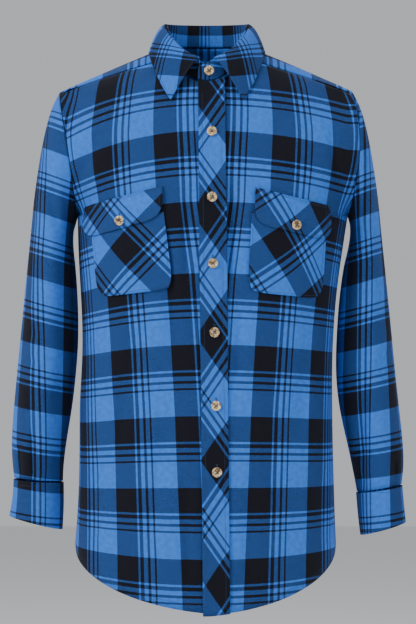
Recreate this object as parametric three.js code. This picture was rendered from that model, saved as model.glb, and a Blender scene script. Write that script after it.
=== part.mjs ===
import * as THREE from 'three';

// A long-sleeved plaid flannel shirt with two flap pockets, in the hollow form it has when worn.
// Millimetres, +Z up. The front faces -Y and +X is the wearer's left. The origin is the middle of the
// neck base, level with the tops of the shoulders: the place where a wearer holds the garment up.

// ---- driving dimensions ----
const CLOTH = 1.6; // wall of one layer of brushed flannel
const LAYERED = 2.2; // wall of a folded or faced piece: placket, stand, cuff
const SEAM_GAP = 0.4; // between pieces that are sewn edge to edge
const ARMHOLE_GAP = 1.2; // sleeve from the panels
const STAND_SEAT = 1.9; // foot of the stand from the neckline's edge
const YOKE_GAP = 2; // drop of the fronts below the yoke seam, which slants
const CENTRE_GAP = 1.6; // between the two fronts, under the placket
const LIFT = 0.95; // under a piece that lies on a panel
const PATCH_LIFT = 1.15; // under the pockets and flaps, whose facets cross the panel's
const SIDE_Y = 8; // side seams and shoulder ridge, behind the origin
const RIDGE_TOP = 41.5; // where the two shoulder slopes would meet
const RIDGE_SLOPE = 0.43;
const NECK_HALF = 64; // half width of the neck hole
const NECK_FRONT_Z = -44;
const NECK_BACK_Z = 16;
const NECK_CORNER_X = 57; // where the front yoke seam meets the neck
const YOKE_DROP_ROOT = 4.7; // root of the yoke seam's drop below the ridge, at the neck
const YOKE_BACK_ANGLE = 315; // armhole angle of the back yoke seam
const SIDE_HEM_Z = -706;
const HEM_FALL = 88; // shirt tail below the side seams, at the middle of the front
const TAIL_DIFFERENCE = 4; // how much shorter the back tail is
const PLACKET_WIDTH = 38;
const STAND_HEIGHT = 30;
const STAND_OVERLAP = 15; // front end of the stand past the middle
const CUFF_LAP = 24; // degrees by which a cuff's ends pass each other
const BUTTON_RADIUS = 7.2;
const BUTTON_THICKNESS = 2.6;
const BUTTON_HOLE_RADIUS = 0.9;
const BUTTON_HOLE_SPREAD = 1.75;
const POCKET_ROUNDING = 15;
const SECTION_SIDE = { right: -1, left: 1 };

// Heights run downwards in every table. front, back: y of the middle of each section.
// square: superellipse power of the section, 2 for an ellipse.
const TORSO = [
  { z: 45, front: -8, back: 24, square: 1.8 },
  { z: 16, front: -22, back: 60, square: 1.8 },
  { z: -13, front: -46, back: 84, square: 1.85 },
  { z: -44, front: -70, back: 100, square: 1.95 },
  { z: -100, front: -102, back: 117, square: 2.3 },
  { z: -150, front: -117, back: 122, square: 2.6 },
  { z: -232, front: -125, back: 120, square: 2.8 },
  { z: -370, front: -122, back: 110, square: 2.8 },
  { z: -500, front: -124, back: 108, square: 2.8 },
  { z: -640, front: -129, back: 116, square: 2.7 },
  { z: -800, front: -134, back: 122, square: 2.6 },
];

// Half width of the panels: the armhole's edge above its foot, the side seam below.
const EDGE = {
  right: [
    { z: -50, x: 212 },
    { z: -74, x: 209 },
    { z: -93, x: 205 },
    { z: -124, x: 200.5 },
    { z: -156, x: 195.5 },
    { z: -210, x: 189 },
    { z: -232, x: 187.5 },
    { z: -302, x: 186 },
    { z: -370, x: 181 },
    { z: -439, x: 180.5 },
    { z: -500, x: 185 },
    { z: -568, x: 184.5 },
    { z: -656, x: 187 },
    { z: -706, x: 191 },
    { z: -800, x: 191 },
  ],
  left: [
    { z: -48, x: 208 },
    { z: -74, x: 213 },
    { z: -93, x: 215.5 },
    { z: -124, x: 218 },
    { z: -156, x: 217 },
    { z: -210, x: 208 },
    { z: -232, x: 204 },
    { z: -290, x: 195 },
    { z: -353, x: 186.5 },
    { z: -439, x: 181.5 },
    { z: -490, x: 181.5 },
    { z: -568, x: 182.5 },
    { z: -656, x: 185 },
    { z: -706, x: 187 },
    { z: -800, x: 187 },
  ],
};

// The armhole is an oval seen from the side. tip: armhole angle of the front yoke seam.
const ARMHOLE = {
  right: { top: -51, foot: -232, reach: 75, fullness: 0.14, tip: 17 },
  left: { top: -48, foot: -232, reach: 75, fullness: 0.12, tip: 24 },
};
const ARMHOLE_POWER = 2.2;

// Largest folds of the body, drawn as seen from the front: line from (x, z) to (toX, toZ), its half
// width and its depth. A negative depth is a ridge.
const FRONT_FOLDS = [
  { x: 36, z: -190, toX: 33, toZ: -395, half: 9, depth: 7 },
  { x: -22, z: -200, toX: -20, toZ: -420, half: 8, depth: 4 },
  { x: 184, z: -84, toX: 188, toZ: -215, half: 8, depth: 10 },
  { x: -56, z: -350, toX: -50, toZ: -560, half: 13, depth: 4 },
  { x: 120, z: -430, toX: 130, toZ: -790, half: 20, depth: 5 },
  { x: -120, z: -470, toX: -138, toZ: -770, half: 22, depth: 5 },
];
const BACK_FOLDS = [
  { x: -70, z: -110, toX: -62, toZ: -560, half: 24, depth: 7 },
  { x: 64, z: -105, toX: 76, toZ: -600, half: 26, depth: 8 },
  { x: 150, z: -190, toX: 128, toZ: -470, half: 18, depth: 8 },
  { x: -148, z: -200, toX: -124, toZ: -450, half: 18, depth: 7 },
  { x: 4, z: -420, toX: 10, toZ: -780, half: 30, depth: 6 },
];

// Sleeve rings from the upper arm to the cuff. outerZ/outerX and innerZ/innerX: the ends of the ring's
// long axis as seen from the front. y: middle of the ring. deep: its half depth.
const SLEEVE = {
  right: [
    { outerZ: -240, outerX: 254, innerZ: -300, innerX: 190.5, y: 9, deep: 74 },
    { outerZ: -320, outerX: 262.5, innerZ: -350, innerX: 186.5, y: 10, deep: 71 },
    { outerZ: -405, outerX: 270.5, innerZ: -410, innerX: 185, y: 9, deep: 67 },
    { outerZ: -450, outerX: 275, innerZ: -460, innerX: 189, y: 7, deep: 64 },
    { outerZ: -500, outerX: 279.5, innerZ: -508, innerX: 194, y: 4, deep: 60 },
    { outerZ: -553, outerX: 283.5, innerZ: -558, innerX: 203, y: 0, deep: 54 },
    { outerZ: -588, outerX: 282, innerZ: -593, innerX: 207, y: -3, deep: 47 },
    { outerZ: -609, outerX: 279, innerZ: -614, innerX: 207.5, y: -5, deep: 42 },
  ],
  left: [
    { outerZ: -240, outerX: 252, innerZ: -305, innerX: 198, y: 12, deep: 70 },
    { outerZ: -320, outerX: 260.5, innerZ: -352, innerX: 191, y: 12, deep: 69 },
    { outerZ: -405, outerX: 269, innerZ: -410, innerX: 187, y: 10, deep: 66 },
    { outerZ: -450, outerX: 273, innerZ: -462, innerX: 185.5, y: 8, deep: 63 },
    { outerZ: -500, outerX: 278, innerZ: -513, innerX: 191, y: 5, deep: 59 },
    { outerZ: -548, outerX: 283.5, innerZ: -562, innerX: 203, y: 0, deep: 53 },
    { outerZ: -590, outerX: 286, innerZ: -604, innerX: 211.5, y: -4, deep: 47 },
    { outerZ: -618, outerX: 282, innerZ: -629, innerX: 216, y: -6, deep: 41 },
  ],
};
const CUFF = {
  right: [
    { outerZ: -611.5, outerX: 280, innerZ: -616.5, innerX: 206.5, y: -5, deep: 43 },
    { outerZ: -638, outerX: 281, innerZ: -650, innerX: 206, y: -5.5, deep: 43 },
    { outerZ: -664, outerX: 286, innerZ: -684, innerX: 208, y: -6, deep: 42 },
  ],
  left: [
    { outerZ: -620.5, outerX: 283, innerZ: -631.5, innerX: 215, y: -6, deep: 42 },
    { outerZ: -647, outerX: 285, innerZ: -660, innerX: 217, y: -6.5, deep: 42 },
    { outerZ: -673, outerX: 288, innerZ: -692, innerX: 221, y: -7, deep: 41 },
  ],
};
// Folds of the sleeves: armhole angle, span of height, half width in degrees and depth.
const SLEEVE_FOLDS = {
  right: [
    { angle: 128, z: -270, toZ: -560, half: 17, depth: 7 },
    { angle: 66, z: -520, toZ: -625, half: 11, depth: 6 },
    { angle: 232, z: -300, toZ: -560, half: 18, depth: 8 },
    { angle: 306, z: -500, toZ: -625, half: 12, depth: 6 },
  ],
  left: [
    { angle: 124, z: -240, toZ: -600, half: 18, depth: 9 },
    { angle: 238, z: -280, toZ: -580, half: 18, depth: 8 },
    { angle: 300, z: -520, toZ: -640, half: 12, depth: 6 },
  ],
};

// Patch pockets and their flaps as seen from the front: corner points (x, z).
const POCKETS = {
  right: {
    topSide: [-163, -250], topMiddle: [-61, -226], lowMiddle: [-47, -338], lowSide: [-153, -350],
  },
  left: {
    topSide: [168, -246], topMiddle: [63, -226], lowMiddle: [57, -342], lowSide: [162, -352],
  },
};
const FLAPS = {
  right: {
    topSide: [-172, -221], topMiddle: [-62.5, -193.5], lowMiddle: [-61.5, -237], lowSide: [-172, -267],
  },
  left: {
    topSide: [173, -221], topMiddle: [68, -195.5], lowMiddle: [66, -246], lowSide: [172, -270],
  },
};

// Buttons as seen from the front.
const PLACKET_BUTTONS = [
  { x: 7, z: -116 },
  { x: 7.3, z: -209 },
  { x: 8.6, z: -302 },
  { x: 10.7, z: -399 },
  { x: 12.9, z: -502 },
  { x: 14.3, z: -595 },
];
const COLLAR_BUTTON = { x: 3, z: -27 };
const FLAP_BUTTONS = { right: { x: -123, z: -242 }, left: { x: 126, z: -248 } };

// Collar leaf from the middle of the back to the tip at the front, right half. turn: neck angle of the
// point where it leaves the fold. x, z: its outer edge; back edge points state y as well.
const LEAF = [
  { turn: 180, x: 0, y: 92, z: -5 },
  { turn: 150, x: 44, y: 86, z: -4 },
  { turn: 124, x: 74, y: 58, z: -1 },
  { turn: 104, x: 85, y: 26, z: 8 },
  { turn: 88, x: 85, y: -8, z: 6 },
  { turn: 72, x: 80, z: -12 },
  { turn: 56, x: 73, z: -30 },
  { turn: 40, x: 66, z: -46 },
  { turn: 24, x: 59, z: -58 },
  { turn: 9, x: 52, z: -70 },
];
const LEAF_CLEAR = 2.6; // cloth face of the leaf above the panel under it
const LEAF_ROLL = 5; // how far the fold stands out from the stand

// Column places from the middle of a panel to its edge, as shares of the half width, closer together
// where the section turns to the side. The fifth front column runs to the corner of neck and yoke.
const FRONT_COLUMNS = [0, 0.075, 0.145, 0.215, null, 0.42, 0.56, 0.69, 0.8, 0.89, 0.95, 0.985, 1];
const BACK_COLUMNS = [0, 0.2, 0.4, 0.57, 0.72, 0.85, 0.94, 0.985, 1];
const ROWS_BELOW_ARM = 9;
const FRONT_ARMHOLE_STEPS = 9;
const BACK_ARMHOLE_STEPS = 7;
const YOKE_ARMHOLE_STEPS = 3;
const CROWN_STEPS = 5;

// ---- small maths ----
const { min, max, abs, sqrt, sign, cos, sin, PI, hypot, exp } = Math;
const lerp = (a, b, t) => a + (b - a) * t;
const clamp = (value, low, high) => min(max(value, low), high);
const radians = (degrees) => (degrees * PI) / 180;
const signedPower = (value, power) => sign(value) * abs(value) ** power;
const steps = (count) => Array.from({ length: count + 1 }, (_, i) => i / count);
const vector = (x, y, z) => new THREE.Vector3(x, y, z);

// A table's column at a height, on a smooth curve through its rows.
function along(rows, column, z) {
  const last = rows.length - 1;
  if (z >= rows[0].z) return rows[0][column];
  if (z <= rows[last].z) return rows[last][column];
  let i = 0;
  while (z < rows[i + 1].z) i += 1;
  const slope = (k) => {
    const above = rows[max(k - 1, 0)];
    const below = rows[min(k + 1, last)];
    return (below[column] - above[column]) / (below.z - above.z);
  };
  const span = rows[i + 1].z - rows[i].z;
  const ends = [rows[i][column], rows[i + 1][column]];
  return hermite(ends, [slope(i) * span, slope(i + 1) * span], (z - rows[i].z) / span);
}

function hermite([from, to], [leave, arrive], t) {
  const u = t * t;
  const c = u * t;
  return (2 * c - 3 * u + 1) * from + (c - 2 * u + t) * leave + (3 * u - 2 * c) * to + (c - u) * arrive;
}

// ---- the body's surface ----
const ridge = (x) => RIDGE_TOP - RIDGE_SLOPE * abs(x);
const sideName = (x) => (x < 0 ? 'right' : 'left');

function halfWidth(side, z) {
  if (z > ARMHOLE[side].top) return (RIDGE_TOP - z) / RIDGE_SLOPE;
  return along(EDGE[side], 'x', z);
}

// 0 at the armhole's top and foot, 1 half way up, 0 outside it. The oval at the edge of the panel,
// share 1, softens away from the edge.
function armholeBulge(side, z, share) {
  const { top, foot } = ARMHOLE[side];
  const height = (top - foot) / 2;
  const level = abs(z - (top + foot) / 2) / height;
  if (level >= 1) return 0;
  const oval = (1 - level ** ARMHOLE_POWER) ** (1 / ARMHOLE_POWER);
  return lerp((1 - level * level) ** 1.5, oval, share ** 12);
}

// 1 along a fold, falling off past both its ends.
const fadeEnds = (t) => exp(-((max(0, abs(t - 0.5) - 0.33) / 0.13) ** 2));

// Push of the folds at a point, along y and towards the inside.
function foldDepth(folds, x, z) {
  let total = 0;
  for (const fold of folds) {
    const length = fold.z - fold.toZ;
    const t = (fold.z - z) / length;
    const away = (x - lerp(fold.x, fold.toX, t)) / fold.half;
    const ends = fadeEnds(t);
    total += fold.depth * ends * exp(-away * away);
  }
  return total;
}

// y of the garment's outer face: inward is +1 on the front and -1 on the back.
function surfaceY(x, z, inward) {
  const side = sideName(x);
  const { reach, fullness } = ARMHOLE[side];
  const share = min(abs(x) / halfWidth(side, z), 1);
  const bulge = armholeBulge(side, z, share);
  const middle = along(TORSO, inward > 0 ? 'front' : 'back', z);
  const power = along(TORSO, 'square', z);
  const edge = SIDE_Y - inward * reach * bulge;
  const arc = (part) => (1 - min(part, 1) ** power) ** (1 / power);
  const wide = 1 + fullness * bulge;
  const turned = (1 - arc(share / wide)) / (1 - arc(1 / wide));
  const fade = 1 - share ** 6;
  const folds = inward > 0 ? FRONT_FOLDS : BACK_FOLDS;
  return lerp(middle, edge, turned) + inward * fade * foldDepth(folds, x, z);
}
const frontPoint = (x, z) => vector(x, surfaceY(x, z, 1), z);
const backPoint = (x, z) => vector(x, surfaceY(x, z, -1), z);

// A point of the armhole: 0 at the top, 90 in front, 180 at its foot, 270 behind.
function armholePoint(side, angle) {
  const { top, foot } = ARMHOLE[side];
  const turn = radians(angle);
  const z = (top + foot) / 2 + ((top - foot) / 2) * signedPower(cos(turn), 2 / ARMHOLE_POWER);
  const x = SECTION_SIDE[side] * halfWidth(side, z);
  return angle <= 180 ? frontPoint(x, z) : backPoint(x, z);
}
const frontAngles = (side) =>
  steps(FRONT_ARMHOLE_STEPS).map((t) => lerp(180, ARMHOLE[side].tip, t));
const backAngles = () => steps(BACK_ARMHOLE_STEPS).map((t) => lerp(180, YOKE_BACK_ANGLE, t));

// ---- closed walls from grids of points ----
// Normals of a grid of points, away from the point inside.
function gridNormals(grid, inside = vector(0, SIDE_Y, -300), closed = false) {
  const rows = grid.length;
  const columns = grid[0].length;
  const at = (r, c) => {
    const row = grid[clamp(r, 0, rows - 1)];
    return closed ? row[(c + columns) % columns] : row[clamp(c, 0, columns - 1)];
  };
  return grid.map((row, r) =>
    row.map((_, c) => {
      const across = at(r, c + 1).clone().sub(at(r, c - 1));
      const down = at(r + 1, c).clone().sub(at(r - 1, c));
      const normal = across.cross(down).normalize();
      return normal.dot(grid[r][c].clone().sub(inside)) < 0 ? normal.negate() : normal;
    }),
  );
}

// Wall of the given thickness under a grid of outer points, along its outward normals.
function wall(grid, thickness, normals, closed = false) {
  const rows = grid.length;
  const columns = grid[0].length;
  const inner = moved(grid, normals, () => -thickness);
  const points = [...grid.flat(), ...inner.flat()];
  const layer = rows * columns;
  const index = [];
  const id = (r, c, under) => under * layer + r * columns + (c % columns);
  const quad = (a, b, c, d) => index.push(a, b, c, a, c, d);
  const lastColumn = closed ? columns : columns - 1;
  for (let r = 0; r < rows - 1; r += 1) {
    for (let c = 0; c < lastColumn; c += 1) {
      quad(id(r, c, 0), id(r, c + 1, 0), id(r + 1, c + 1, 0), id(r + 1, c, 0));
      quad(id(r, c, 1), id(r + 1, c, 1), id(r + 1, c + 1, 1), id(r, c + 1, 1));
    }
  }
  for (let c = 0; c < lastColumn; c += 1) {
    quad(id(0, c, 0), id(0, c, 1), id(0, c + 1, 1), id(0, c + 1, 0));
    quad(id(rows - 1, c, 0), id(rows - 1, c + 1, 0), id(rows - 1, c + 1, 1), id(rows - 1, c, 1));
  }
  if (!closed) {
    for (let r = 0; r < rows - 1; r += 1) {
      quad(id(r, 0, 0), id(r + 1, 0, 0), id(r + 1, 0, 1), id(r, 0, 1));
      quad(id(r, columns - 1, 0), id(r, columns - 1, 1), id(r + 1, columns - 1, 1), id(r + 1, columns - 1, 0));
    }
  }
  return outwardGeometry(points, index);
}

// Indexed geometry whose faces point out of the solid.
function outwardGeometry(points, index) {
  let volume = 0;
  for (let i = 0; i < index.length; i += 3) {
    const [a, b, c] = [points[index[i]], points[index[i + 1]], points[index[i + 2]]];
    volume += a.dot(b.clone().cross(c));
  }
  if (volume < 0) index.reverse();
  const geometry = new THREE.BufferGeometry();
  geometry.setAttribute('position', new THREE.Float32BufferAttribute(points.flatMap((p) => p.toArray()), 3));
  geometry.setIndex(index);
  geometry.computeVertexNormals();
  return geometry;
}

// A grid's points moved along normals by what amount gives for each row.
function moved(grid, normals, amount) {
  return grid.map((row, r) => row.map((p, c) => p.clone().addScaledVector(normals[r][c], amount(r))));
}

// Normals of the garment's own surface, the same on both sides of a seam.
function bodyNormal(p) {
  const inward = p.y < SIDE_Y ? 1 : -1;
  const step = 0.6;
  const share = (dx, dz) => surfaceY(p.x + dx, p.z + dz, inward);
  const slopeX = (share(step, 0) - share(-step, 0)) / (2 * step);
  const slopeZ = (share(0, step) - share(0, -step)) / (2 * step);
  return vector(inward * slopeX, -inward, inward * slopeZ).normalize();
}
const bodyNormals = (grid) => grid.map((row) => row.map(bodyNormal));

// Triangles of the outer faces of some grids.
function facetsOf(...grids) {
  const facets = [];
  for (const grid of grids) {
    for (let r = 0; r < grid.length - 1; r += 1) {
      for (let c = 0; c < grid[0].length - 1; c += 1) {
        const [a, b, d, e] = [grid[r][c], grid[r][c + 1], grid[r + 1][c + 1], grid[r + 1][c]];
        facets.push([a, b, d], [a, d, e]);
      }
    }
  }
  return facets;
}

// y at which a line along y from the front first meets the facets, or else the garment's surface.
function frontOf(facets, x, z) {
  let best = Infinity;
  for (const [a, b, c] of facets) {
    const area = (b.x - a.x) * (c.z - a.z) - (c.x - a.x) * (b.z - a.z);
    const s = ((x - a.x) * (c.z - a.z) - (c.x - a.x) * (z - a.z)) / area;
    const t = ((b.x - a.x) * (z - a.z) - (x - a.x) * (b.z - a.z)) / area;
    const slack = 1e-6;
    if (abs(area) > slack && s >= -slack && t >= -slack && s + t <= 1 + slack) {
      best = min(best, a.y + s * (b.y - a.y) + t * (c.y - a.y));
    }
  }
  return best < Infinity ? best : surfaceY(x, z, 1);
}

// ---- fronts, back and yoke ----
const placketMiddle = (z) => 6.5 + 7 * clamp((NECK_FRONT_Z - z) / 750, 0, 1);

function hemZ(x, side, tail) {
  const inwards = 1 - min(abs(x) / halfWidth(side, SIDE_HEM_Z), 1);
  const curve = (1 - (1 - inwards) ** 2.2) ** 0.55;
  return SIDE_HEM_Z - (HEM_FALL - 12 - tail) * curve - 12 * inwards ** 1.5;
}

const neckArcZ = (x) => {
  const share = min(abs(x) / NECK_HALF, 1) ** 1.6;
  return lerp(NECK_FRONT_Z, ridge(NECK_HALF), 1 - (1 - share) ** 0.625);
};

// Root of the front yoke seam's drop below the ridge, straight from the neck to the armhole.
function yokeRoot(side, x) {
  const tip = armholePoint(side, ARMHOLE[side].tip);
  const tipRoot = sqrt(ridge(tip.x) - tip.z);
  return lerp(YOKE_DROP_ROOT, tipRoot, (abs(x) - NECK_CORNER_X) / (abs(tip.x) - NECK_CORNER_X));
}

function frontTopZ(side, x) {
  if (abs(x) <= NECK_CORNER_X) return neckArcZ(x);
  return ridge(x) - yokeRoot(side, x) ** 2;
}

// x of a column at the top of a front.
function frontTopX(side, column) {
  const way = SECTION_SIDE[side];
  const start = placketMiddle(0) + (way * CENTRE_GAP) / 2;
  return lerp(start, armholePoint(side, ARMHOLE[side].tip).x, column);
}

function frontColumns(side) {
  const start = frontTopX(side, 0);
  const corner = (SECTION_SIDE[side] * NECK_CORNER_X - start) / (frontTopX(side, 1) - start);
  return FRONT_COLUMNS.map((share) => share ?? corner);
}

// Height shares of a panel's rows, 0 at the hem and 1 at the top, so that the rows meet the armhole's
// own points.
function rowShares(side, angles) {
  const heights = angles.map((angle) => armholePoint(side, angle).z);
  const top = heights[heights.length - 1];
  const share = (z) => (z - SIDE_HEM_Z) / (top - SIDE_HEM_Z);
  const below = steps(ROWS_BELOW_ARM).map((t) => share(lerp(SIDE_HEM_Z, heights[0], t)));
  return [...below, ...heights.slice(1).map(share)];
}

function frontGrid(side) {
  const way = SECTION_SIDE[side];
  const tip = armholePoint(side, ARMHOLE[side].tip);
  return rowShares(side, frontAngles(side)).map((share) =>
    frontColumns(side).map((column) => {
      const topX = frontTopX(side, column);
      const top = column === 1 ? tip.z : frontTopZ(side, topX);
      const foot = hemZ(way * column * halfWidth(side, SIDE_HEM_Z), side, 0);
      const z = lerp(foot, top, share);
      const edge = z > tip.z ? tip.x : way * halfWidth(side, z);
      const x = lerp(placketMiddle(z) + (way * CENTRE_GAP) / 2, edge, column);
      const place = share === 1 ? frontPoint(topX, z - YOKE_GAP) : frontPoint(x, z);
      place.y = min(place.y, SIDE_Y - SEAM_GAP / 2);
      return place;
    }),
  );
}

function backGrid() {
  const angles = backAngles();
  const shares = { right: rowShares('right', angles), left: rowShares('left', angles) };
  const tops = {
    right: armholePoint('right', YOKE_BACK_ANGLE),
    left: armholePoint('left', YOKE_BACK_ANGLE),
  };
  const topMiddle = (tops.right.z + tops.left.z) / 2;
  const columns = [...BACK_COLUMNS.map((share) => -share).reverse(), ...BACK_COLUMNS.slice(1)];
  return shares.right.map((_, row) =>
    columns.map((column) => {
      const side = sideName(column);
      const even = (shares.right[row] + shares.left[row]) / 2;
      const share = lerp(even, shares[side][row], abs(column));
      const top = lerp(topMiddle, tops[side].z, abs(column)) - SEAM_GAP / 2;
      const foot = column * halfWidth(side, SIDE_HEM_Z);
      const z = lerp(hemZ(foot, side, TAIL_DIFFERENCE), top, share);
      const place = backPoint(column * halfWidth(side, z), z);
      place.y = max(place.y, SIDE_Y + SEAM_GAP / 2);
      return place;
    }),
  );
}

// The neckline: 0 at the middle of the front, 90 at the side, 180 at the middle of the back.
function neckPoint(turn, way) {
  const x = way * NECK_HALF * sin(radians(turn));
  if (turn <= 90) return frontPoint(x, neckArcZ(x));
  return backPoint(x, lerp(NECK_BACK_Z, ridge(NECK_HALF), (x / NECK_HALF) ** 2));
}

// Points over the shoulder are given by x and the signed root of their drop below the ridge, which is
// negative in front of it.
const rootOf = (p) => sign(p.y - SIDE_Y) * sqrt(max(0, ridge(p.x) - p.z));
function shoulderPoint(x, root) {
  const z = ridge(x) - root * root;
  return root < 0 ? frontPoint(x, z) : backPoint(x, z);
}

function yokeGrid() {
  const outer = [];
  const armSteps = (side) => [
    ARMHOLE[side].tip,
    ...steps(YOKE_ARMHOLE_STEPS).map((t) => lerp(360, YOKE_BACK_ANGLE, t)),
  ];
  for (const angle of armSteps('right')) outer.push(armholePoint('right', angle % 360));
  const backTop = backGrid().pop();
  for (const p of backTop.slice(1, -1)) outer.push(backPoint(p.x, p.z + SEAM_GAP));
  for (const angle of armSteps('left').reverse()) outer.push(armholePoint('left', angle % 360));
  const corner = (Math.asin(NECK_CORNER_X / NECK_HALF) * 180) / PI;
  const total = outer.length - 1;
  return outer.map((edge, i) => {
    const way = i <= total / 2 ? -1 : 1;
    const side = sideName(way);
    const across = frontColumns(side)
      .slice(FRONT_COLUMNS.indexOf(null))
      .map((column) => frontTopX(side, column))
      .map((x, _, all) => (x - all[0]) / (all[all.length - 1] - all[0]));
    const turn = lerp(corner, 180, 1 - abs(1 - (2 * i) / total));
    const neck = neckPoint(turn, way);
    const from = i % total === 0 ? -YOKE_DROP_ROOT : rootOf(neck);
    const to = rootOf(edge);
    return across.map((t) => {
      if (t === 1) return edge;
      return shoulderPoint(lerp(neck.x, edge.x, t), lerp(from, to, t));
    });
  });
}

// ---- sleeves and cuffs ----
function ringPoint(side, ring, angle) {
  const way = SECTION_SIDE[side];
  const turn = radians(angle);
  const middleX = (ring.outerX + ring.innerX) / 2;
  const middleZ = (ring.outerZ + ring.innerZ) / 2;
  const across = cos(turn);
  return vector(
    way * (middleX + ((ring.outerX - ring.innerX) / 2) * across),
    ring.y - ring.deep * sin(turn),
    middleZ + ((ring.outerZ - ring.innerZ) / 2) * across,
  );
}

const sleeveAngles = (side) => [
  0,
  ...frontAngles(side).reverse(),
  ...backAngles().slice(1),
  ...steps(YOKE_ARMHOLE_STEPS).slice(1, -1).map((t) => lerp(YOKE_BACK_ANGLE, 360, t)),
];

// Direction and strength in which the sleeve leaves the armhole.
function crownTangent(side, angle) {
  const turn = radians(angle);
  const upper = (1 + cos(turn)) / 2;
  const direction = vector(
    SECTION_SIDE[side] * lerp(0.42, 0.9, upper),
    0.15 * sin(turn),
    lerp(-0.9, -0.45, upper),
  );
  return direction.normalize().multiplyScalar(75);
}

function sleeveFold(side, ring, angle) {
  const z = (ring.outerZ + ring.innerZ) / 2;
  let total = 0;
  for (const fold of SLEEVE_FOLDS[side]) {
    const t = (fold.z - z) / (fold.z - fold.toZ);
    const ends = fadeEnds(t);
    total += fold.depth * ends * exp(-(((angle - fold.angle) / fold.half) ** 2));
  }
  return total;
}

const ringMiddle = (side, ring) =>
  ringPoint(side, ring, 0).add(ringPoint(side, ring, 180)).multiplyScalar(0.5);

function foldedRingPoint(side, ring, angle) {
  const depth = sleeveFold(side, ring, angle);
  const p = ringPoint(side, ring, angle);
  const middle = ringMiddle(side, ring);
  return p.lerp(middle, depth / p.distanceTo(middle));
}

function sleeveGrid(side) {
  const rings = SLEEVE[side];
  const angles = sleeveAngles(side);
  const rows = steps(CROWN_STEPS).slice(0, -1).map((t) =>
    angles.map((angle) => {
      const from = armholePoint(side, angle);
      const to = foldedRingPoint(side, rings[0], angle);
      const leave = crownTangent(side, angle);
      const arrive = foldedRingPoint(side, rings[1], angle).sub(to);
      const mix = (axis) => hermite([from[axis], to[axis]], [leave[axis], arrive[axis]], t);
      return vector(mix('x'), mix('y'), mix('z')).addScaledVector(leave, ARMHOLE_GAP / 75);
    }),
  );
  for (const ring of rings) rows.push(angles.map((angle) => foldedRingPoint(side, ring, angle)));
  return rows;
}

// Band round the wrist, from under its own lap at the back round to the top of it.
function cuffGrid(side) {
  const turns = 22;
  return CUFF[side].map((ring) =>
    steps(turns).map((t) => {
      const angle = lerp(262, 262 + 360 + CUFF_LAP, t);
      const over = clamp((t * turns - turns + 4) / 3, 0, 1) * (LAYERED + LIFT + 0.3);
      const middle = ringMiddle(side, ring);
      const p = ringPoint(side, ring, angle);
      return p.lerp(middle, -over / p.distanceTo(middle));
    }),
  );
}

// Strip along the slit at the back of the sleeve, on the sleeve's own facets.
function slitStripGrid(side, sleeve) {
  const first = sleeveAngles(side).findIndex((angle) => angle > 255);
  const rows = sleeve.slice(-5);
  const strip = rows.map((row) => {
    const next = row[first + 1];
    return [row[first], next, next.clone().lerp(row[first + 2], 0.35)];
  });
  const lastRow = strip[strip.length - 1];
  strip[strip.length - 1] = lastRow.map((p, i) => strip[strip.length - 2][i].clone().lerp(p, 0.96));
  return moved(strip, gridNormals(strip, ringMiddle(side, SLEEVE[side][5])), () => LIFT + CLOTH);
}

// ---- pieces that lie on the fronts ----
function placketGrid(fronts) {
  const [right] = fronts;
  const levels = right.map((row) => row[0].z);
  const facets = facetsOf(...fronts);
  const count = levels.length - 1;
  const base = levels.map((z, row) =>
    [-1, -0.5, 0, 0.5, 1].map((across) => {
      const x = placketMiddle(z) + (across * PLACKET_WIDTH) / 2;
      const low = row === 0 ? hemZ(x, 'left', 0) - 3 : z;
      const level = row === count ? frontTopZ('left', x) - SEAM_GAP : low;
      const found = frontOf(facets, x, max(level, hemZ(x, 'left', 0) + 0.5));
      return vector(x, found, level);
    }),
  );
  return moved(base, gridNormals(base), () => LIFT + LAYERED);
}

// Patch between four corners, rounded at its lower corners, over what lies under it.
function patchGrid(patch, rows, under, lift) {
  const columns = [0, 0.06, 0.15, 0.28, 0.41, 0.54, 0.67, 0.8, 0.94, 1];
  const width = hypot(patch.lowSide[0] - patch.lowMiddle[0], patch.lowSide[1] - patch.lowMiddle[1]);
  const height = abs(patch.topMiddle[1] - patch.lowMiddle[1]);
  const base = rows.map((v) =>
    columns.map((u) => {
      const toCorner = min(u, 1 - u) * width;
      const beyond = max(0, POCKET_ROUNDING - toCorner) / POCKET_ROUNDING;
      const raised = (POCKET_ROUNDING * (1 - sqrt(1 - beyond * beyond))) / height;
      const down = v * (1 - raised);
      const at = (k) =>
        lerp(
          lerp(patch.topSide[k], patch.topMiddle[k], u),
          lerp(patch.lowSide[k], patch.lowMiddle[k], u),
          down,
        );
      const [x, z] = [at(0), at(1)];
      return vector(x, frontOf(under, x, z), z);
    }),
  );
  return moved(base, gridNormals(base), (row) => lift(rows[row]));
}

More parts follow.
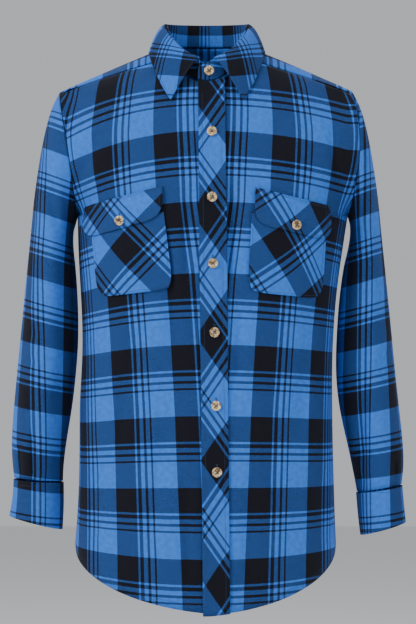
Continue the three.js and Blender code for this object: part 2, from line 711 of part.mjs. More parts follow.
// ---- collar ----
// Path of the stand: the neckline, with its left end passing over its right end at the front.
function standGrid() {
  const lap = (Math.asin(STAND_OVERLAP / NECK_HALF) * 180) / PI;
  const turns = steps(30).map((t) => lerp(-lap * 0.6, 360 + lap, t));
  const levels = [0, 0.35, 0.7, 0.9, 1];
  return levels.map((level) =>
    turns.map((turn, i) => {
      const way = turn < 0 || turn > 360 ? 1 : -1;
      const round = turn < 0 ? -turn : turn > 360 ? turn - 360 : turn;
      const foot = round <= 180 ? neckPoint(round, -1) : neckPoint(360 - round, 1);
      if (turn < 0 || turn > 360) foot.x = -way * abs(foot.x) * (turn < 0 ? -1 : 1);
      const layer = turn > 300 ? clamp((turn - 325) / 25, 0, 1) : 0;
      const rounded = roundedEnd(i, turns.length);
      const height = STAND_SEAT + STAND_HEIGHT * level * rounded;
      const lean = 0.1 * height + STAND_SEAT;
      const out = foot.clone().setZ(0).sub(vector(0, -4, 0)).normalize();
      return vector(
        foot.x - out.x * lean,
        foot.y - out.y * lean - layer * (LAYERED + 1),
        foot.z + height,
      );
    }),
  );
}

// Height share of the stand near its ends, where its top corners are rounded.
function roundedEnd(i, count) {
  const fromEnd = min(i, count - 1 - i);
  return [0.55, 0.9][fromEnd] ?? 1;
}

function leafGrid(fronts) {
  const facets = facetsOf(...fronts);
  const right = LEAF.map((row) => ({ ...row, way: -1 }));
  const left = LEAF.slice(1).map((row) => ({ ...row, way: 1 }));
  const around = [...right.reverse(), ...left];
  return around.map(({ turn, x, y, z, way }) => {
    const foot = neckPoint(turn, way);
    const out = foot.clone().setZ(0).sub(vector(0, -4, 0)).normalize();
    const height = STAND_HEIGHT + STAND_SEAT + SEAM_GAP + CLOTH;
    const fold = vector(foot.x - out.x * 2, foot.y - out.y * 2 - (turn < 60 ? LAYERED + 2 : 0), foot.z + height);
    const edgeX = way * x;
    const edge = vector(edgeX, y ?? frontOf(facets, edgeX, z) - LEAF_CLEAR - CLOTH, z);
    const bend = vector(
      lerp(fold.x, edge.x, 0.3) + out.x * LEAF_ROLL,
      lerp(fold.y, edge.y, 0.3) + out.y * LEAF_ROLL,
      lerp(fold.z, edge.z, 0.18) + 4,
    );
    return steps(4).map((t) => {
      const first = fold.clone().lerp(bend, t);
      return first.lerp(bend.clone().lerp(edge, t), t);
    });
  });
}

// ---- buttons ----
// Four-hole disc whose face looks along -Y, its back at y = 0.
function buttonGeometry() {
  const circle = (x, y, radius, corners) =>
    steps(corners).slice(1).map((t) => new THREE.Vector2(x + radius * cos(2 * PI * t), y + radius * sin(2 * PI * t)));
  const face = new THREE.Shape(circle(0, 0, BUTTON_RADIUS, 14));
  for (const [across, up] of [[1, 1], [-1, 1], [-1, -1], [1, -1]]) {
    const hole = circle(across * BUTTON_HOLE_SPREAD, up * BUTTON_HOLE_SPREAD, BUTTON_HOLE_RADIUS, 4);
    face.holes.push(new THREE.Path(hole));
  }
  const disc = new THREE.ExtrudeGeometry(face, { depth: BUTTON_THICKNESS, bevelEnabled: false });
  return disc.rotateX(PI / 2);
}

// ---- materials ----
const flannel = () => new THREE.MeshStandardMaterial({ color: 0x3f6ea6, roughness: 0.95, metalness: 0 });
const horn = () => new THREE.MeshStandardMaterial({ color: 0xc9ab7d, roughness: 0.3, metalness: 0 });

// ---- assembly ----
const shirt = new THREE.Group();

function add(name, geometry, material) {
  const mesh = new THREE.Mesh(geometry, material);
  mesh.name = name;
  shirt.add(mesh);
  return mesh;
}

// Button with its back on the facets under it, facing the way that they face.
function addButton(name, facets, { x, z }, lift) {
  const mesh = add(name, buttonGeometry(), horn());
  const reach = BUTTON_RADIUS;
  const at = (dx, dz) => vector(x + dx, frontOf(facets, x + dx, z + dz), z + dz);
  const across = at(reach, 0).sub(at(-reach, 0));
  const up = at(0, reach).sub(at(0, -reach));
  const out = across.clone().cross(up).normalize();
  const side = across.normalize();
  const level = min(at(0, 0).y, (at(reach, 0).y + at(-reach, 0).y) / 2, (at(0, reach).y + at(0, -reach).y) / 2);
  mesh.quaternion.setFromRotationMatrix(
    new THREE.Matrix4().makeBasis(side, out.clone().negate(), side.clone().cross(out.clone().negate())),
  );
  mesh.position.set(x, level - lift, z);
}

const grids = { right: frontGrid('right'), left: frontGrid('left') };
const fronts = [grids.right, grids.left];
const placket = placketGrid(fronts);
const stand = standGrid();
const leaf = leafGrid(fronts);
const collarMiddle = vector(0, -4, 0);
const addBody = (name, grid) => add(name, wall(grid, CLOTH, bodyNormals(grid)), flannel());

addBody('back', backGrid());
addBody('yoke', yokeGrid());
addBody('front_right', grids.right);
addBody('front_left', grids.left);
add('placket', wall(placket, LAYERED, gridNormals(placket)), flannel());
add('collar_stand', wall(stand, LAYERED, gridNormals(stand, collarMiddle)), flannel());
add('collar', wall(leaf, CLOTH, gridNormals(leaf, collarMiddle)), flannel());

for (const side of ['right', 'left']) {
  const sleeve = sleeveGrid(side);
  const arm = ringMiddle(side, SLEEVE[side][4]);
  const sleeveNormals = gridNormals(sleeve, arm, true);
  sleeveNormals[0] = sleeveAngles(side).map((angle) => bodyNormal(armholePoint(side, angle)));
  add(`sleeve_${side}`, wall(sleeve, CLOTH, sleeveNormals, true), flannel());
  const cuff = cuffGrid(side);
  add(`cuff_${side}`, wall(cuff, LAYERED, gridNormals(cuff, ringMiddle(side, CUFF[side][1]))), flannel());
  const strip = slitStripGrid(side, sleeve);
  add(`sleeve_placket_${side}`, wall(strip, CLOTH, gridNormals(strip, arm)), flannel());

  const panel = facetsOf(grids[side]);
  const pocket = patchGrid(POCKETS[side], [0.04, 0.28, 0.52, 0.76, 1], panel, () => PATCH_LIFT + CLOTH);
  const flapLift = (v) => PATCH_LIFT + CLOTH + 0.7 + smoothstep(v, 0.05, 0.45) * (CLOTH + 1);
  const flap = patchGrid(FLAPS[side], [0, 0.25, 0.5, 0.75, 1], panel, flapLift);
  add(`pocket_${side}`, wall(pocket, CLOTH, gridNormals(pocket)), flannel());
  add(`flap_${side}`, wall(flap, CLOTH, gridNormals(flap)), flannel());
  addButton(`flap_button_${side}`, facetsOf(flap), FLAP_BUTTONS[side], LIFT);
}

function smoothstep(value, low, high) {
  const t = clamp((value - low) / (high - low), 0, 1);
  return t * t * (3 - 2 * t);
}

addButton('collar_button', facetsOf(stand), COLLAR_BUTTON, LIFT);
PLACKET_BUTTONS.forEach((place, i) => addButton(`front_button_${i + 1}`, facetsOf(placket), place, LIFT));

export default shirt;
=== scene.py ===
from math import asin, atan2, cos, exp, hypot, pi, radians, sin, tau

import bmesh
import bpy
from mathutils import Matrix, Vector, geometry
from mathutils.bvhtree import BVHTree


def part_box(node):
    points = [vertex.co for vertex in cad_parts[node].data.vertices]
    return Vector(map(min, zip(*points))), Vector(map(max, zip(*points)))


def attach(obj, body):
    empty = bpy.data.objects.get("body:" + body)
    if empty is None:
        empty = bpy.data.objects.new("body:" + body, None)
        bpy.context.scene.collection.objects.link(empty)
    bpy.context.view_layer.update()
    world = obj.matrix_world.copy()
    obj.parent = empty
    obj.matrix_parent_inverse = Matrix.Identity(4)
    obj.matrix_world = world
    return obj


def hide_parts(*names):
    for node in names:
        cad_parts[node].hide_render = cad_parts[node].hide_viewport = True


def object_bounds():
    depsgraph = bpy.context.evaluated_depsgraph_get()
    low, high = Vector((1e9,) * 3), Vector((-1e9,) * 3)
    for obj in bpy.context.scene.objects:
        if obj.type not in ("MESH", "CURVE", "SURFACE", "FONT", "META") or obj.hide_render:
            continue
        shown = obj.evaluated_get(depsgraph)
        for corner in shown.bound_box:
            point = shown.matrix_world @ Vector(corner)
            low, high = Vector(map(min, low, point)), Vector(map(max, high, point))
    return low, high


# A blue and black plaid flannel shirt in its hollow worn form. Metres, +Z up, the front faces -Y.
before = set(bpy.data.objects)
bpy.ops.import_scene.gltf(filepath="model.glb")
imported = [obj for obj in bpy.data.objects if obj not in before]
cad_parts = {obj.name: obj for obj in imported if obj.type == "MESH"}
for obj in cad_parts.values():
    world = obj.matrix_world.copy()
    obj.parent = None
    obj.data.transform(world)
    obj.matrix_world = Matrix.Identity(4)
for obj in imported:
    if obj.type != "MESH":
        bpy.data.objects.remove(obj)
cad_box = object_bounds()

MM = 0.001
SIDE_Y = 8 * MM  # side seams and shoulder ridge

# One repeat of the plaid, in millimetres: width of each stripe and whether it is blue.
SETT = [
    (32.5, 0), (2.9, 1), (5.2, 0), (5.6, 1), (3.9, 0), (5.5, 1), (2.7, 0), (34.0, 1),
]
WARP_REPEAT = sum(width for width, _ in SETT) * MM
WEFT_STRETCH = 1.088  # the weft repeat is longer than the warp repeat
BLUE = (0.048, 0.235, 0.86, 1)
BLACK = (0.008, 0.008, 0.014, 1)
HEATHER_SHARE = 0.29  # how blue the crossings of a blue and a black stripe look
TWILL_PITCH = 0.0011  # distance between two twill lines
BIAS = radians(54)
BIAS_STRETCH = 0.94  # the placket's plaid along its length

# Height in metres, and at the side seam the drop of the weft (right and left front) and the drift of
# the warp towards the middle.
HANG = [
    (0.06, 0.022, 0.016, 0.0),
    (-0.035, 0.029, 0.018, 0.0),
    (-0.118, 0.042, 0.023, 0.0),
    (-0.213, 0.036, 0.022, 0.004),
    (-0.313, 0.034, 0.023, 0.018),
    (-0.416, 0.021, 0.014, 0.025),
    (-0.516, 0.015, 0.009, 0.031),
    (-0.616, 0.006, 0.002, 0.035),
    (-0.718, -0.014, -0.012, 0.039),
    (-0.80, -0.018, -0.016, 0.041),
]

# Fine creases of the cloth: piece, start (x, z), end (x, z), half width, depth, in millimetres as seen
# from the front or the back. A negative depth is a ridge.
CREASES = [
    ("front_right", (-24, -190), (-30, -330), 6, 2.2),
    ("front_right", (-62, -250), (-44, -420), 8, 2.6),
    ("front_right", (-150, -110), (-185, -190), 9, 2.4),
    ("front_right", (-100, -390), (-128, -560), 10, 2.0),
    ("front_right", (-60, -520), (-80, -700), 13, 2.2),
    ("front_right", (-150, -560), (-160, -700), 9, 2.2),
    ("front_right", (-30, -600), (-26, -760), 8, 1.8),
    ("front_right", (-90, -90), (-60, -180), 12, 1.6),
    ("front_left", (34, -180), (30, -330), 6, 2.6),
    ("front_left", (52, -330), (40, -480), 8, 2.4),
    ("front_left", (178, -95), (181, -215), 5, 3.0),
    ("front_left", (150, -370), (128, -560), 11, 2.2),
    ("front_left", (96, -470), (88, -640), 12, 2.0),
    ("front_left", (60, -590), (56, -760), 9, 2.0),
    ("front_left", (160, -600), (168, -710), 9, 2.2),
    ("front_left", (110, -80), (84, -170), 12, 1.6),
    ("back", (-110, -120), (-150, -260), 12, 3.0),
    ("back", (112, -115), (158, -250), 12, 3.0),
    ("back", (-30, -330), (-46, -640), 13, 3.0),
    ("back", (44, -360), (30, -690), 12, 2.6),
    ("back", (120, -420), (140, -690), 14, 2.8),
    ("back", (-118, -460), (-132, -700), 13, 2.6),
    ("sleeve_right", (-232, -150), (-212, -260), 8, 2.6),
    ("sleeve_right", (-262, -380), (-214, -440), 9, 3.2),
    ("sleeve_right", (-268, -430), (-222, -462), 7, 2.2),
    ("sleeve_right", (-249, -540), (-248, -612), 4, 3.6),
    ("sleeve_right", (-270, -560), (-268, -612), 4, 2.6),
    ("sleeve_left", (231, -250), (222, -620), 6, 3.4),
    ("sleeve_left", (262, -360), (226, -420), 9, 2.6),
    ("sleeve_left", (268, -420), (230, -470), 8, 2.4),
    ("sleeve_left", (226, -560), (225, -628), 4, 3.2),
    ("sleeve_left", (270, -580), (268, -626), 4, 2.6),
]

CREASE_GAIN = 1.7  # how much deeper the soft creases hang than their drawn depth


# ---- small maths ----
def lerp(a, b, t):
    return a + (b - a) * t


def hang(z, column):
    """A column of HANG at a height, between its rows."""
    if z >= HANG[0][0]:
        return HANG[0][column]
    for upper, lower in zip(HANG, HANG[1:]):
        if z >= lower[0]:
            return lerp(upper[column], lower[column], (upper[0] - z) / (upper[0] - lower[0]))
    return HANG[-1][column]


def middle_y(z, front):
    """y of the middle of the front or back, which its girth is measured from."""
    depth = 0.124 * (1 - exp((z - 0.06) / 0.11))
    return -depth if front else 0.118 * (1 - exp((z - 0.06) / 0.08))


# ---- where the plaid lies on each piece: (along the warp sett, along the weft sett), metres ----
def on_body(p, front):
    side = -1 if p.x < 0 else 1
    turned = min(abs(p.y - middle_y(p.z, front)) / 0.133, 1.15)
    girth = abs(p.x) + 0.080 * turned**1.5
    across = side * (girth + hang(p.z, 3)) + (0.076 if side < 0 else -0.093)
    column = 1 if side < 0 else 2
    drop = hang(p.z, column) * min(abs(p.x) / 0.19, 1.05) ** 2.1
    return across, -(p.z + drop) - 0.115


def on_bias(p, middle, level):
    across, up = p.x - middle, p.z - level
    blue = 0.075
    rise = up * cos(BIAS) * BIAS_STRETCH
    return blue + across * sin(BIAS) + rise, blue + across * sin(BIAS) - rise


def on_turned(p, turn, centre):
    """Plaid turned by an angle about a point that is the middle of a black crossing."""
    across, up = p.x - centre[0], p.z - centre[1]
    stretch = 1 + 0.35 * max(0.0, abs(p.x) - 0.10) / 0.08
    across *= stretch
    black = 0.016
    return across * cos(turn) + up * sin(turn) + black, across * sin(turn) - up * cos(turn) + black


def sleeve_middle(side, z):
    low = min(max((-z - 0.24) / 0.37, 0), 1)
    return side * lerp(0.222, 0.246, low), lerp(0.010, -0.005, low)


def on_sleeve(p, side):
    x, y = sleeve_middle(side, p.z)
    across, forward = side * (p.x - x), y - p.y
    radius = lerp(0.062, 0.046, min(max((-p.z - 0.3) / 0.3, 0), 1))
    turn = atan2(forward, across)
    slope = lerp(0.42, 0.14, min(max((-p.z - 0.10) / 0.5, 0), 1))
    rise = slope * (side * p.x - 0.235)
    return -side * turn * radius * 1.1 + (0.052 if side < 0 else 0.060), (p.z - rise) * 1.06 + 0.143


def on_collar(p, _):
    """Along the collar's length, and across it from its fold to its edge."""
    out = hypot(p.x, p.y + 0.004)
    turn = asin(max(-1, min(1, p.x / max(out, 1e-6))))
    return turn * 0.085 + p.x * 0.25 + 0.052, (p.z + out * -0.9) * 1.05 + 0.118


def plaid_of(name, p):
    side = -1 if name.endswith("right") else 1
    if name.startswith("front"):
        return on_body(p, True)
    if name == "back":
        return on_body(p, False)
    if name == "yoke":
        return p.z * 0.5 + p.y + 0.012, p.x + 0.05
    if name == "placket":
        return on_bias(p, lerp(0.0065, 0.0135, -p.z / 0.79), -0.139)
    if name == "pocket_right" or name == "flap_right":
        return on_turned(p, radians(45), (-0.117, -0.280))
    if name == "pocket_left" or name == "flap_left":
        return on_turned(p, radians(33), (0.099, -0.272))
    if name.startswith("sleeve_") or name.startswith("cuff"):
        across, down = on_sleeve(p, side)
        return (across, down + 0.021) if name.startswith("cuff") else (across, down)
    return on_collar(p, side)


# ---- materials ----
def socket_math(tree, operation, first, second=None):
    node = tree.nodes.new("ShaderNodeMath")
    node.operation = operation
    for socket, value in zip(node.inputs, (first, second)):
        if isinstance(value, (int, float)):
            socket.default_value = value
        elif value is not None:
            tree.links.new(value, socket)
    return node.outputs[0]


def stripe(tree, along, repeat):
    """1 where the sett is blue and 0 where it is black."""
    share = socket_math(tree, "FRACT", socket_math(tree, "DIVIDE", along, repeat))
    ramp = tree.nodes.new("ShaderNodeValToRGB")
    ramp.color_ramp.interpolation = "CONSTANT"
    total = sum(width for width, _ in SETT)
    place = 0.0
    for i, (width, blue) in enumerate(SETT):
        points = ramp.color_ramp.elements
        point = points[i] if i < 2 else points.new(place / total)
        point.position = place / total
        point.color = (blue, blue, blue, 1)
        place += width
    tree.links.new(share, ramp.inputs[0])
    return ramp.outputs[0]


def mixed(tree, share, first, second, kind="MIX"):
    node = tree.nodes.new("ShaderNodeMix")
    node.data_type = "RGBA"
    node.blend_type = kind
    for socket, value in zip((node.inputs[0], node.inputs[6], node.inputs[7]), (share, first, second)):
        if isinstance(value, (int, float, tuple)):
            socket.default_value = value
        else:
            tree.links.new(value, socket)
    return node.outputs[2]


def flannel():
    """Brushed twill: stripes of both directions, heather where they cross, soft nap."""
    material = bpy.data.materials.new("flannel")
    material.use_nodes = True
    tree = material.node_tree
    shader = tree.nodes["Principled BSDF"]
    place = tree.nodes.new("ShaderNodeUVMap")
    place.uv_map = "plaid"
    split = tree.nodes.new("ShaderNodeSeparateXYZ")
    tree.links.new(place.outputs[0], split.inputs[0])

    fuzz = tree.nodes.new("ShaderNodeTexNoise")
    fuzz.inputs["Scale"].default_value = 900
    fuzz.inputs["Detail"].default_value = 3
    tree.links.new(place.outputs[0], fuzz.inputs["Vector"])
    wander = socket_math(tree, "MULTIPLY", socket_math(tree, "SUBTRACT", fuzz.outputs[0], 0.5), 0.0011)
    across = socket_math(tree, "ADD", split.outputs[0], wander)
    down = socket_math(tree, "ADD", split.outputs[1], wander)
    warp = stripe(tree, across, WARP_REPEAT)
    weft = stripe(tree, down, WARP_REPEAT * WEFT_STRETCH)

    twill = socket_math(tree, "ADD", split.outputs[0], split.outputs[1])
    twill = socket_math(tree, "SINE", socket_math(tree, "MULTIPLY", twill, tau / TWILL_PITCH))
    speck = socket_math(tree, "ADD", socket_math(tree, "MULTIPLY", fuzz.outputs[0], 1.3), -0.65)
    lines = socket_math(tree, "ADD", socket_math(tree, "MULTIPLY", twill, 0.10), speck)
    cover = socket_math(tree, "ADD", lines, HEATHER_SHARE)
    both = socket_math(tree, "MULTIPLY", warp, weft)
    either = socket_math(tree, "MAXIMUM", warp, weft)
    crossing = socket_math(tree, "MULTIPLY", either, cover)
    blueness = socket_math(tree, "MAXIMUM", both, crossing)
    blueness.node.use_clamp = True
    colour = mixed(tree, blueness, BLACK, BLUE)

    nap = tree.nodes.new("ShaderNodeTexNoise")
    nap.inputs["Scale"].default_value = 140
    nap.inputs["Detail"].default_value = 6
    tree.links.new(place.outputs[0], nap.inputs["Vector"])
    shade = socket_math(tree, "ADD", socket_math(tree, "MULTIPLY", nap.outputs[0], 0.5), 0.75)
    shade_colour = tree.nodes.new("ShaderNodeCombineXYZ")
    for socket in shade_colour.inputs:
        tree.links.new(shade, socket)
    colour = mixed(tree, 1.0, colour, shade_colour.outputs[0], "MULTIPLY")
    tree.links.new(colour, shader.inputs["Base Color"])

    height = socket_math(tree, "ADD", socket_math(tree, "MULTIPLY", twill, 0.35), fuzz.outputs[0])
    bump = tree.nodes.new("ShaderNodeBump")
    bump.inputs["Strength"].default_value = 0.55
    bump.inputs["Distance"].default_value = 0.0006
    tree.links.new(height, bump.inputs["Height"])
    tree.links.new(bump.outputs[0], shader.inputs["Normal"])
    shader.inputs["Roughness"].default_value = 0.92
    shader.inputs["Sheen Weight"].default_value = 0.06
    shader.inputs["Sheen Roughness"].default_value = 0.5
    shader.inputs["Sheen Tint"].default_value = (0.5, 0.65, 1.0, 1)
    shader.inputs["Specular IOR Level"].default_value = 0.2
    return material


def horn():
    """Glossy resin with tan and brown marbling."""
    material = bpy.data.materials.new("horn")
    material.use_nodes = True
    tree = material.node_tree
    shader = tree.nodes["Principled BSDF"]
    place = tree.nodes.new("ShaderNodeTexCoord")
    swirl = tree.nodes.new("ShaderNodeTexNoise")
    swirl.inputs["Scale"].default_value = 190
    swirl.inputs["Detail"].default_value = 3
    swirl.inputs["Distortion"].default_value = 1.4
    tree.links.new(place.outputs["Object"], swirl.inputs["Vector"])
    ramp = tree.nodes.new("ShaderNodeValToRGB")
    points = ramp.color_ramp.elements
    points[0].position, points[0].color = 0.36, (0.16, 0.07, 0.025, 1)
    points[1].position, points[1].color = 0.62, (0.86, 0.76, 0.56, 1)
    middle = points.new(0.5)
    middle.color = (0.60, 0.40, 0.19, 1)
    tree.links.new(swirl.outputs[0], ramp.inputs[0])
    tree.links.new(ramp.outputs[0], shader.inputs["Base Color"])
    shader.inputs["Roughness"].default_value = 0.22
    shader.inputs["Coat Weight"].default_value = 0.4
    return material


def thread(name, colour):
    """Sewing thread: twisted strands as fine ribs."""
    material = bpy.data.materials.new(name)
    material.use_nodes = True
    tree = material.node_tree
    shader = tree.nodes["Principled BSDF"]
    twist = tree.nodes.new("ShaderNodeTexNoise")
    twist.inputs["Scale"].default_value = 2500
    ramp = tree.nodes.new("ShaderNodeValToRGB")
    ramp.color_ramp.elements[0].color = tuple(c * 0.6 for c in colour[:3]) + (1,)
    ramp.color_ramp.elements[1].color = colour
    place = tree.nodes.new("ShaderNodeTexCoord")
    tree.links.new(place.outputs["Object"], twist.inputs["Vector"])
    tree.links.new(twist.outputs[0], ramp.inputs[0])
    tree.links.new(ramp.outputs[0], shader.inputs["Base Color"])
    shader.inputs["Roughness"].default_value = 0.8
    return material


# ---- cloth pieces ----
def crease_push(name, p):
    """Inward push of the fine creases at a point, metres."""
    total = 0.0
    x, z = p.x / MM, p.z / MM
    for piece, (x0, z0), (x1, z1), half, depth in CREASES:
        if piece != name:
            continue
        along = Vector((x1 - x0, z1 - z0))
        t = ((x - x0) * along.x + (z - z0) * along.y) / along.length_squared
        away = abs((x - x0) * along.y - (z - z0) * along.x) / along.length
        ends = exp(-((max(0.0, abs(t - 0.5) - 0.3) / 0.16) ** 2))
        total += CREASE_GAIN * depth * MM * ends * exp(-((away / half) ** 2))
    return total


def smooth_cloth(node, levels):
    """Fine mesh of a cloth node: its facets joined to quads and subdivided, with sharp rims."""
    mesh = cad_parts[node].data.copy()
    work = bmesh.new()
    work.from_mesh(mesh)
    bmesh.ops.remove_doubles(work, verts=work.verts, dist=1e-5)
    bmesh.ops.join_triangles(
        work, faces=work.faces, angle_face_threshold=radians(38), angle_shape_threshold=radians(80),
        cmp_seam=False, cmp_sharp=False, cmp_uvs=False, cmp_vcols=False, cmp_materials=False,
    )
    sharp = work.edges.layers.float.new("crease_edge")
    for edge in work.edges:
        if len(edge.link_faces) == 2 and edge.calc_face_angle(0) > radians(50):
            edge[sharp] = 1.0
    work.to_mesh(mesh)
    work.free()
    mesh.name = node + "_cloth"
    piece = bpy.data.objects.new(node + "_cloth", mesh)
    bpy.context.collection.objects.link(piece)
    finer = piece.modifiers.new("finer", "SUBSURF")
    finer.levels = finer.render_levels = levels
    finer.boundary_smooth = "PRESERVE_CORNERS"
    graph = bpy.context.evaluated_depsgraph_get()
    fine = bpy.data.meshes.new_from_object(piece.evaluated_get(graph))
    piece.modifiers.clear()
    piece.data = fine
    for polygon in fine.polygons:
        polygon.use_smooth = True
    return piece


def add_creases(node, piece):
    front = not node == "back"
    for vertex in piece.data.vertices:
        p = vertex.co
        if node.startswith("sleeve") and p.y > SIDE_Y:
            continue
        vertex.co.y += crease_push(node, p) * (1 if front else -1)


def add_plaid(node, piece):
    layer = piece.data.uv_layers.new(name="plaid")
    places = [plaid_of(node, v.co) for v in piece.data.vertices]
    for loop in piece.data.loops:
        layer.data[loop.index].uv = places[loop.vertex_index]


def cloth_piece(node, material):
    levels = 2 if node in ("back", "yoke", "front_right", "front_left") else 3
    if node.startswith("sleeve_") or node == "collar_stand":
        levels = 2
    piece = smooth_cloth(node, levels)
    add_creases(node, piece)
    add_plaid(node, piece)
    piece.data.materials.clear()
    piece.data.materials.append(material)
    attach(piece, "root")
    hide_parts(node)
    return piece


# ---- buttons ----
def button_piece(node, material, sewing):
    """Button with a raised rim and a dished face, sewn with crossed thread."""
    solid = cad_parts[node].data
    points = [v.co for v in solid.vertices]
    middle = sum(points, Vector()) / len(points)
    # The disc's largest facet lies on one of its two flat faces, so its normal runs along the axis.
    out = max(solid.polygons, key=lambda face: face.area).normal.copy()
    if out.y > 0:
        out.negate()
    side = Vector((0, 0, 1)).cross(out).normalized()
    up = out.cross(side)
    radius, thick = 7.2 * MM, 2.6 * MM
    profile = [
        (0.0, 0.50), (0.42, 0.50), (0.62, 0.62), (0.74, 0.95), (0.84, 1.0), (0.95, 0.86),
        (1.0, 0.55), (0.96, 0.2), (0.80, 0.0), (0.0, 0.0),
    ]
    work = bmesh.new()
    rings = []
    count = 40
    for share, level in profile:
        ring = []
        for i in range(count if share else 1):
            turn = tau * i / count
            flat = side * cos(turn) + up * sin(turn)
            ring.append(work.verts.new(middle + flat * radius * share + out * thick * (level - 0.5)))
        rings.append(ring)
    for first, second in zip(rings, rings[1:]):
        for i in range(count):
            j = (i + 1) % count
            corners = [first[i % len(first)], first[j % len(first)]]
            corners += [second[j % len(second)], second[i % len(second)]]
            work.faces.new(list(dict.fromkeys(corners)))
    bmesh.ops.recalc_face_normals(work, faces=work.faces)
    mesh = bpy.data.meshes.new(node + "_disc")
    work.to_mesh(mesh)
    work.free()
    for face in mesh.polygons:
        face.use_smooth = True
    piece = bpy.data.objects.new(node + "_disc", mesh)
    bpy.context.collection.objects.link(piece)
    mesh.materials.append(material)
    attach(piece, "root")
    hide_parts(node)
    add_stitches(node, middle, side, up, out, thick, sewing)


def add_stitches(node, middle, side, up, out, thick, sewing):
    """Four dark round plugs where the holes are, and two crossed threads between them."""
    work = bmesh.new()
    spread = 1.75 * MM
    for across, level in ((1, 1), (-1, 1), (-1, -1), (1, -1)):
        centre = middle + side * spread * across + up * spread * level + out * thick * 0.02
        ring = [
            work.verts.new(
                centre + (side * cos(tau * i / 12) + up * sin(tau * i / 12)) * 0.95 * MM + out * 0.10 * MM
            )
            for i in range(12)
        ]
        under = [work.verts.new(v.co - out * 0.6 * MM) for v in ring]
        work.faces.new(ring)
        work.faces.new(under[::-1])
        for i in range(12):
            work.faces.new([ring[i], under[i], under[(i + 1) % 12], ring[(i + 1) % 12]])
    for across in (1, -1):
        start = middle + (side * across + up) * spread + out * thick * 0.06
        end = middle - (side * across + up) * spread + out * thick * 0.06
        run = (end - start).normalized()
        wide = run.cross(out) * 0.5 * MM
        rings = []
        for i in range(9):
            t = i / 8
            centre = start.lerp(end, t) + out * (0.55 * MM * sin(pi * t) + 0.1 * MM)
            rings.append([
                work.verts.new(centre + wide * cos(tau * k / 8) + out * 0.4 * MM * sin(tau * k / 8))
                for k in range(8)
            ])
        for first, second in zip(rings, rings[1:]):
            for k in range(8):
                work.faces.new([first[k], first[(k + 1) % 8], second[(k + 1) % 8], second[k]])
        work.faces.new(rings[0][::-1])
        work.faces.new(rings[-1])
    bmesh.ops.recalc_face_normals(work, faces=work.faces)
    mesh = bpy.data.meshes.new(node + "_thread")
    work.to_mesh(mesh)
    work.free()
    piece = bpy.data.objects.new(node + "_thread", mesh)
    bpy.context.collection.objects.link(piece)
    mesh.materials.append(sewing)
    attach(piece, "root")


# ---- stitching ----
def lay(surface, x, z):
    """Point of a surface seen from the front at x, z, and its normal."""
    hit, normal, _, _ = surface.ray_cast(Vector((x, -1, z)), Vector((0, 1, 0)))
    if hit is None:
        return None, None
    if normal.y > 0:
        normal = -normal
    return hit, normal


def stitch_mesh(name, paths, surface, thread_material, pitch=3.1, length=2.3, thick=0.42):
    """Running stitches along paths of (x, z) points, laid on a surface. Sizes in millimetres."""
    work = bmesh.new()
    for path in paths:
        travelled, due = 0.0, 0.0
        for (x0, z0), (x1, z1) in zip(path, path[1:]):
            reach = hypot(x1 - x0, z1 - z0)
            while reach and due <= travelled + reach:
                t = (due - travelled) / reach
                half = length * MM / 2 / reach
                ends = []
                for share in (t - half, t, t + half):
                    ends.append(lay(surface, lerp(x0, x1, share), lerp(z0, z1, share)))
                due += pitch * MM
                if any(point is None for point, _ in ends):
                    continue
                first, last = ends[0][0], ends[2][0]
                if (last - first).length > 1.6 * length * MM:
                    continue
                stitch(work, first, last, ends[1][1], thick * MM)
            travelled += reach
    bmesh.ops.recalc_face_normals(work, faces=work.faces)
    mesh = bpy.data.meshes.new(name)
    work.to_mesh(mesh)
    work.free()
    piece = bpy.data.objects.new(name, mesh)
    bpy.context.collection.objects.link(piece)
    mesh.materials.append(thread_material)
    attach(piece, "root")


def stitch(work, first, last, out, thick):
    """One stitch: a short strand, rounded up in its middle, both ends sunk in the cloth."""
    run = (last - first).normalized()
    wide = run.cross(out).normalized() * thick * 0.5
    rings = []
    for share, rise in ((0.0, -0.3), (0.25, 0.28), (0.75, 0.28), (1.0, -0.3)):
        centre = first.lerp(last, share) + out * thick * rise
        rings.append([
            work.verts.new(centre + wide * cos(tau * k / 6) + out * thick * 0.4 * sin(tau * k / 6))
            for k in range(6)
        ])
    for one, two in zip(rings, rings[1:]):
        for k in range(6):
            work.faces.new([one[k], one[(k + 1) % 6], two[(k + 1) % 6], two[k]])
    work.faces.new(rings[0][::-1])
    work.faces.new(rings[-1])


def outline(points, inset):
    """Closed outline around points seen from the front, drawn in by an inset in metres."""
    flat = [Vector((p.x, p.z)) for p in points]
    around = [flat[i] for i in geometry.convex_hull_2d(flat)]
    middle = sum(around, Vector((0, 0))) / len(around)
    drawn = []
    for point in around:
        reach = (point - middle).length
        drawn.append(middle + (point - middle) * max(0.1, (reach - inset * 1.15) / reach))
    drawn.append(drawn[0])
    return [tuple(p) for p in drawn]


def hem_path(points, rise):
    """Curve at a height above the lowest edge of the points, from right to left."""
    path = []
    step = 4 * MM
    low_x = min(p.x for p in points)
    high_x = max(p.x for p in points)
    x = low_x + 6 * MM
    while x < high_x - 5 * MM:
        near = [p.z for p in points if abs(p.x - x) < step]
        if near:
            path.append((x, min(near) + rise))
        x += step
    return path


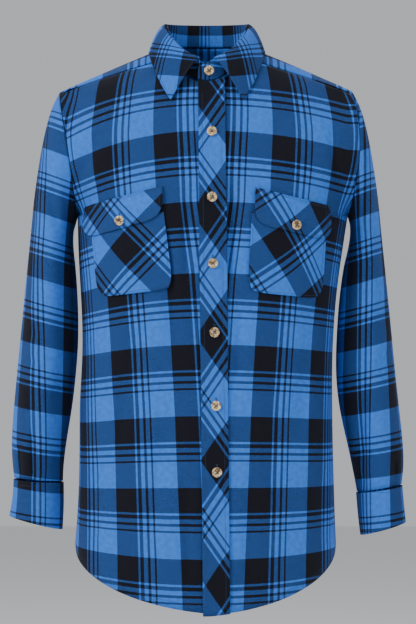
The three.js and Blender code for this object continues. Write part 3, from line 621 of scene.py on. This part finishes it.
def sew(pieces, thread_material):
    """Topstitching of the placket, pockets, flaps, collar, cuffs and the fronts' hem."""
    for node, piece in pieces.items():
        points = [v.co for v in piece.data.vertices]
        surface = BVHTree.FromObject(piece, bpy.context.evaluated_depsgraph_get())
        paths = []
        if node == "placket":
            for side in (-1, 1):
                path = []
                for i in range(120):
                    z = lerp(-62, -786, i / 119)
                    path.append(((6.5 + 7 * (-44 - z) / 750 + side * 13.5) * MM, z * MM))
                paths.append(path)
        elif node.startswith("pocket") or node.startswith("flap"):
            paths = [outline(points, 3.4 * MM)]
            if node.startswith("flap"):
                paths.append(outline(points, 6.4 * MM))
        elif node == "collar":
            for side in (-1, 1):
                leaf = [p for p in points if p.x * side > 0.004 and p.y < 0]
                closed = outline(leaf, 5.5 * MM)
                centre = (sum(x for x, _ in closed) / len(closed), sum(z for _, z in closed) / len(closed))
                paths.append([q for q in closed if q[1] < centre[1] + 0.012])
        elif node in ("front_right", "front_left"):
            paths = [hem_path(points, 10 * MM)]
        elif node.startswith("cuff"):
            low, high = min(p.z for p in points), max(p.z for p in points)
            left, right = min(p.x for p in points), max(p.x for p in points)
            for level in (low + 9 * MM, high - 8 * MM):
                paths.append([(lerp(left + 0.003, right - 0.003, i / 40), level) for i in range(41)])
        if paths:
            stitch_mesh(node + "_stitches", paths, surface, thread_material)


def buttonholes(pieces, thread_material):
    """Upright buttonholes: two rows of satin bars, and a bar across each end."""
    for node in sorted(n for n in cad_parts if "button" in n):
        low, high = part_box(node)
        middle_x, middle_z = (low[0] + high[0]) / 2, (low[2] + high[2]) / 2
        host = "collar_stand" if node == "collar_button" else "placket"
        if node.startswith("flap"):
            host = "flap_right" if node.endswith("right") else "flap_left"
        surface = BVHTree.FromObject(pieces[host], bpy.context.evaluated_depsgraph_get())
        bars = []
        top, bottom = middle_z + 11.0 * MM, middle_z - 6.0 * MM
        for side in (-1, 1):
            for i in range(30):
                z = lerp(top, bottom, i / 29)
                bars.append([(middle_x + side * 0.2 * MM, z), (middle_x + side * 1.5 * MM, z)])
        for end in (top, bottom):
            bars.append([(middle_x - 1.6 * MM, end), (middle_x + 1.6 * MM, end)])
        stitch_mesh(node + "_hole", bars, surface, thread_material, pitch=9, length=1.3, thick=0.5)


# ---- studio ----
def studio():
    floor_mesh = bpy.data.meshes.new("floor")
    half = 6
    level = cad_box[0][2] - 0.35
    corners = [(-half, -half, level), (half, -half, level), (half, half, level), (-half, half, level)]
    floor_mesh.from_pydata(corners, [], [(0, 1, 2, 3)])
    floor = bpy.data.objects.new("floor", floor_mesh)
    bpy.context.collection.objects.link(floor)
    paint = bpy.data.materials.new("floor")
    paint.use_nodes = True
    paint.node_tree.nodes["Principled BSDF"].inputs["Base Color"].default_value = (0.80, 0.80, 0.80, 1)
    paint.node_tree.nodes["Principled BSDF"].inputs["Roughness"].default_value = 0.9
    floor_mesh.materials.append(paint)

    world = bpy.data.worlds.new("studio")
    world.use_nodes = True
    world.node_tree.nodes["Background"].inputs[0].default_value = (0.80, 0.82, 0.86, 1)
    world.node_tree.nodes["Background"].inputs[1].default_value = 0.62
    bpy.context.scene.world = world
    lamps = [((-2.4, -2.2, 1.2), 1.5, 66), ((2.4, -2.4, 0.4), 1.6, 20), ((0, 1.8, 1.8), 1.6, 26)]
    for place, size, power in lamps:
        light = bpy.data.lights.new("softbox", "AREA")
        light.size, light.energy = size, power
        lamp = bpy.data.objects.new("softbox", light)
        lamp.location = place
        lamp.rotation_euler = (Vector((0, 0, -0.35)) - Vector(place)).to_track_quat("-Z", "Y").to_euler()
        bpy.context.collection.objects.link(lamp)


def camera():
    """Level view of the front from 4 m, showing 0.892 m of height at the cloth nearest to it."""
    distance, shown_height = 4.0, 0.892
    lens = bpy.data.cameras.new("camera")
    lens.sensor_fit = "VERTICAL"
    lens.sensor_height = 24
    lens.lens = lens.sensor_height * (distance - 0.05) / shown_height
    view = bpy.data.objects.new("camera", lens)
    view.location = (0.0015, -distance, -0.3705)
    view.rotation_euler = (radians(90), 0, 0)
    bpy.context.collection.objects.link(view)
    bpy.context.scene.camera = view


cloth = flannel()
resin = horn()
sewing = thread("sewing", (0.10, 0.06, 0.03, 1))
blue_thread = thread("blue_thread", (0.035, 0.075, 0.19, 1))
made = {}
for node in sorted(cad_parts):
    if "button" in node:
        button_piece(node, resin, sewing)
    else:
        made[node] = cloth_piece(node, cloth)
sew(made, blue_thread)
buttonholes(made, blue_thread)
studio()
camera()
